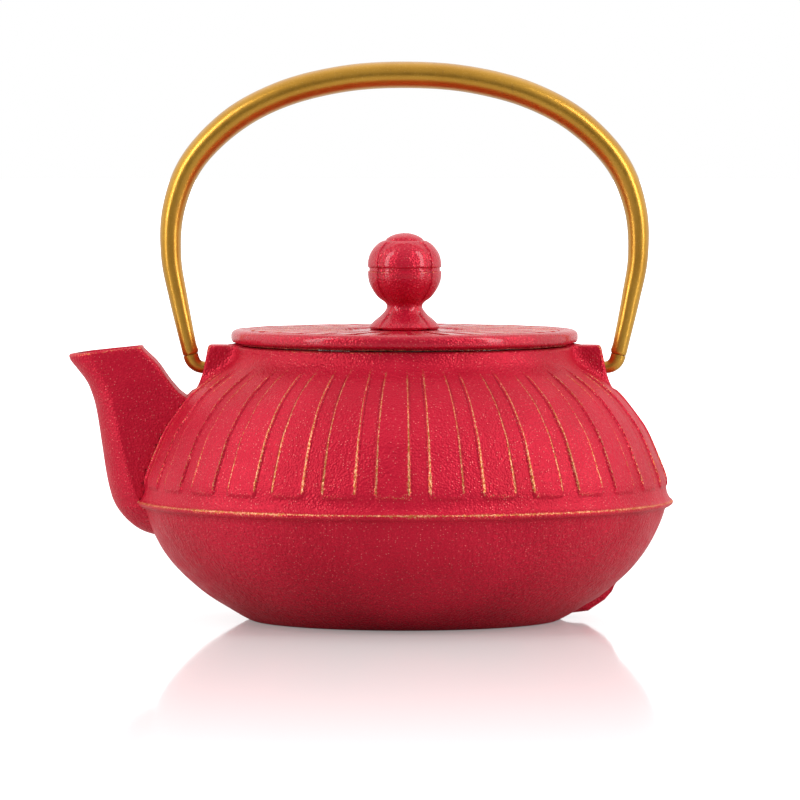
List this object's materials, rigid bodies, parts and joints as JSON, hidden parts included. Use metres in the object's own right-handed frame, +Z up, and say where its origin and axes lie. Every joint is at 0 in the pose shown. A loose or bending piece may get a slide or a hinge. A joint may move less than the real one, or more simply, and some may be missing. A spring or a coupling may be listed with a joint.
{
  "type": "cast iron teapot",
  "caption": "Low round cast iron teapot with a raised-tab dome, a belt ring, a spout, a lift-off lid with a ball knob, a hanging steel infuser and a folding bail handle.",
  "frame": {"origin": "centre of the flat base, on the axis of the bowl", "axes": "+Z up; the spout points along -X; the handle's pivot axis runs along X"},
  "size_m": [0.1841, 0.1638, 0.1702],
  "materials": {
    "red_iron": "satin red paint on fine cast grain, edges rubbed gold",
    "gold_paint": "satin gold metallic paint",
    "zinc_steel": "zinc plated, dull",
    "stainless": "rolled stainless sheet, fine brushing"
  },
  "bodies": {
    "pot": {"pot_body": "red_iron"},
    "handle": {"handle_tube": "gold_paint", "handle_hook_left": "gold_paint", "handle_hook_right": "gold_paint"},
    "infuser": {"infuser_rim": "stainless", "infuser_wall": "stainless", "infuser_base_ring": "stainless", "infuser_floor": "stainless"},
    "lid": {"lid": "red_iron", "knob": "red_iron", "knob_stud": "zinc_steel", "knob_washer": "zinc_steel", "knob_nut": "zinc_steel"}
  },
  "joints": [
    {"name": "handle_pivot", "type": "hinge", "parent": "pot", "child": "handle", "pos_m": [0, 0, 0.077], "axis": [1, 0, 0], "range_deg": [-108, 108]},
    {"name": "infuser_lift", "type": "slide", "parent": "pot", "child": "infuser", "axis": [0, 0, 1], "range_m": [0, 0.02]},
    {"name": "lid_lift", "type": "slide", "parent": "infuser", "child": "lid", "axis": [0, 0, 1], "range_m": [0, 0.022]}
  ]
}
